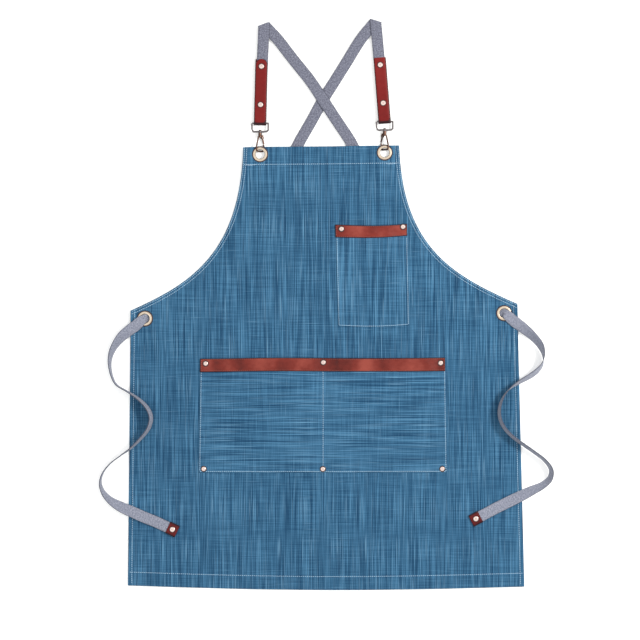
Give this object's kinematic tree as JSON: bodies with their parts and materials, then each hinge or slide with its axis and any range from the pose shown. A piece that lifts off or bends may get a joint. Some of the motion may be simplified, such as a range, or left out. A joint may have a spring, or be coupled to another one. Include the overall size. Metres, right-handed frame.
{
  "type": "bib apron with clip-on crossed straps",
  "caption": "Slub-cotton bib apron laid flat, with patch pockets, leather bands, and crossed webbing straps that clip to the bib with swivel snap hooks and end in waist ties.",
  "frame": {"origin": "on the back face of the cloth at the middle of the waist", "axes": "+X to the right as seen from the front, +Y towards the bib and the straps, +Z out of the front of the cloth"},
  "size_m": [0.8059, 1.0143, 0.023],
  "materials": {
    "blue_cloth": "matt slub weave",
    "red_leather": "satin, edges worn",
    "webbing": "matt herringbone weave",
    "gold_eyelet": "antique",
    "rose_rivet": "polished rose gold",
    "nickel_loop": "satin nickel",
    "copper_hook": "antique copper",
    "steel_pin": "plain"
  },
  "bodies": {
    "root": {"apron_panel": "blue_cloth", "chest_pocket": "blue_cloth", "chest_pocket_band": "red_leather", "chest_pocket_rivets": "rose_rivet", "chest_pocket_rivet_backs": "rose_rivet", "waist_pocket": "blue_cloth", "waist_pocket_band": "red_leather", "waist_pocket_rivets": "rose_rivet", "waist_pocket_rivet_backs": "rose_rivet", "left_bib_eyelet": "gold_eyelet", "right_bib_eyelet": "gold_eyelet", "left_waist_eyelet": "gold_eyelet", "right_waist_eyelet": "gold_eyelet", "left_bib_washer": "gold_eyelet", "right_bib_washer": "gold_eyelet", "left_waist_washer": "gold_eyelet", "right_waist_washer": "gold_eyelet", "left_back_strap": "webbing", "right_back_strap": "webbing", "left_tie": "webbing", "right_tie": "webbing", "left_tie_tab": "red_leather", "right_tie_tab": "red_leather", "left_tie_rivet": "rose_rivet", "right_tie_rivet": "rose_rivet", "left_tie_rivet_back": "rose_rivet", "right_tie_rivet_back": "rose_rivet"},
    "harness": {"left_shoulder_strap": "webbing", "right_shoulder_strap": "webbing", "left_strap_tab": "red_leather", "right_strap_tab": "red_leather", "left_tab_rivets": "rose_rivet", "right_tab_rivets": "rose_rivet", "left_tab_rivet_backs": "rose_rivet", "right_tab_rivet_backs": "rose_rivet", "left_loop": "nickel_loop", "right_loop": "nickel_loop", "left_swivel": "copper_hook", "right_swivel": "copper_hook"},
    "left_hook": {"left_hook": "copper_hook", "left_gate_pin": "steel_pin", "left_gate_spring": "steel_pin"},
    "right_hook": {"right_hook": "copper_hook", "right_gate_pin": "steel_pin", "right_gate_spring": "steel_pin"},
    "left_gate": {"left_gate": "copper_hook"},
    "right_gate": {"right_gate": "copper_hook"}
  },
  "joints": [
    {"name": "harness_fold", "type": "hinge", "parent": "root", "child": "harness", "pos_m": [-0.1136, 0.3914, 0.0049], "axis": [0.9999, 0.0135, 0], "range_deg": [0, 150]},
    {"name": "left_hook_swivel", "type": "hinge", "parent": "harness", "child": "left_hook", "pos_m": [-0.1136, 0.3914, 0.0049], "axis": [0, 1, 0], "range_deg": [0, 103]},
    {"name": "right_hook_swivel", "type": "hinge", "parent": "harness", "child": "right_hook", "pos_m": [0.1078, 0.3944, 0.0049], "axis": [0, 1, 0], "range_deg": [-103, 0]},
    {"name": "left_gate_hinge", "type": "hinge", "parent": "left_hook", "child": "left_gate", "pos_m": [-0.10983, 0.4094, 0.00284], "axis": [-0.4787, 0, -0.878], "range_deg": [0, 20], "stiffness_Nm_per_rad": 0.02, "springref_deg": -17.19},
    {"name": "right_gate_hinge", "type": "hinge", "parent": "right_hook", "child": "right_gate", "pos_m": [0.10403, 0.4124, 0.00284], "axis": [-0.4787, 0, 0.878], "range_deg": [0, 20], "stiffness_Nm_per_rad": 0.02, "springref_deg": -17.19}
  ],
  "couplings": [
    {"joint": "left_hook_swivel", "follows": "harness_fold", "ratio": 0.68},
    {"joint": "right_hook_swivel", "follows": "harness_fold", "ratio": -0.68}
  ]
}
